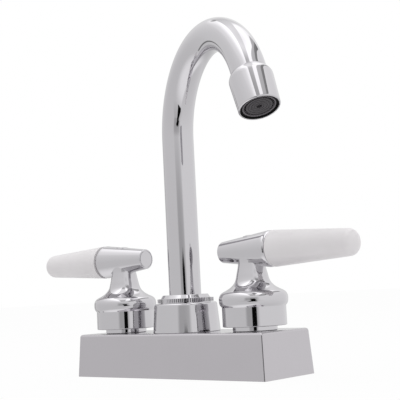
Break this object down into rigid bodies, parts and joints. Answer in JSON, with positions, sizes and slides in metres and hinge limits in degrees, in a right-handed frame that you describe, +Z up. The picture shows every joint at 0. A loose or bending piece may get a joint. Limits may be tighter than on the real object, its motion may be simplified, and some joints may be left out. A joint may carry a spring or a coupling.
{
  "type": "bar faucet",
  "caption": "Two-handle deck faucet on a rectangular base, with a swivelling gooseneck spout, flared outlet cup and white tapered lever handles on bell-shaped hubs.",
  "frame": {"origin": "on the base's underside, level with the deck, under the spout's axis", "axes": "+Z up from the deck, X through the two handle hubs with the left one at -X, and the user in front at -Y"},
  "size_m": [0.2424, 0.0801, 0.2505],
  "materials": {
    "bright_chrome": "polished chrome plate",
    "plate_chrome": "polished chrome plate, slightly softer on the flat faces",
    "raw_brass": "machined, uncoated",
    "copper_tube": "drawn copper tube",
    "zinc_steel": "zinc plated",
    "black_rubber": "matt black rubber",
    "white_acetal": "natural acetal",
    "dark_acetal": "dark grey moulded plastic",
    "ceramic": "lapped alumina ceramic",
    "white_porcelain": "glossy white, porcelain look"
  },
  "bodies": {
    "base": {"base_shell": "plate_chrome", "deck_gasket": "black_rubber", "spout_post": "raw_brass", "spout_collar": "bright_chrome", "spout_nut": "bright_chrome", "glide_washer": "white_acetal", "valve_body_left": "raw_brass", "valve_body_right": "raw_brass", "cross_tube_left": "copper_tube", "cross_tube_right": "copper_tube", "collar_nut_left": "bright_chrome", "collar_nut_right": "bright_chrome", "deck_washer_left": "zinc_steel", "deck_washer_right": "zinc_steel", "lock_nut_left": "raw_brass", "lock_nut_right": "raw_brass", "cartridge_left": "raw_brass", "cartridge_right": "raw_brass", "seat_gasket_left": "black_rubber", "seat_gasket_right": "black_rubber", "fixed_disc_left": "ceramic", "fixed_disc_right": "ceramic", "bonnet_nut_left": "raw_brass", "bonnet_nut_right": "raw_brass"},
    "spout": {"spout_tube": "bright_chrome", "spout_tail": "raw_brass", "spout_o_rings": "black_rubber", "outlet_cup": "bright_chrome", "aerator_washer": "black_rubber", "aerator_housing": "dark_acetal", "aerator_ring": "black_rubber", "aerator_screen": "dark_acetal", "aerator_mixer": "dark_acetal"},
    "left_handle": {"moving_disc_left": "ceramic", "stem_left": "raw_brass", "stem_o_ring_left": "black_rubber", "handle_left": "bright_chrome", "lever_left": "white_porcelain", "lever_stud_left": "zinc_steel", "handle_screw_left": "zinc_steel", "index_plug_left": "bright_chrome"},
    "right_handle": {"moving_disc_right": "ceramic", "stem_right": "raw_brass", "stem_o_ring_right": "black_rubber", "handle_right": "bright_chrome", "lever_right": "white_porcelain", "lever_stud_right": "zinc_steel", "handle_screw_right": "zinc_steel", "index_plug_right": "bright_chrome"}
  },
  "joints": [
    {"name": "spout_swivel", "type": "hinge", "parent": "base", "child": "spout", "pos_m": [0, 0, 0.04], "axis": [0, 0, 1], "continuous": true},
    {"name": "left_handle_turn", "type": "hinge", "parent": "base", "child": "left_handle", "pos_m": [-0.0508, 0, 0.04], "axis": [0, 0, 1], "range_deg": [0, 90]},
    {"name": "right_handle_turn", "type": "hinge", "parent": "base", "child": "right_handle", "pos_m": [0.0508, 0, 0.04], "axis": [0, 0, 1], "range_deg": [-90, 0]}
  ]
}
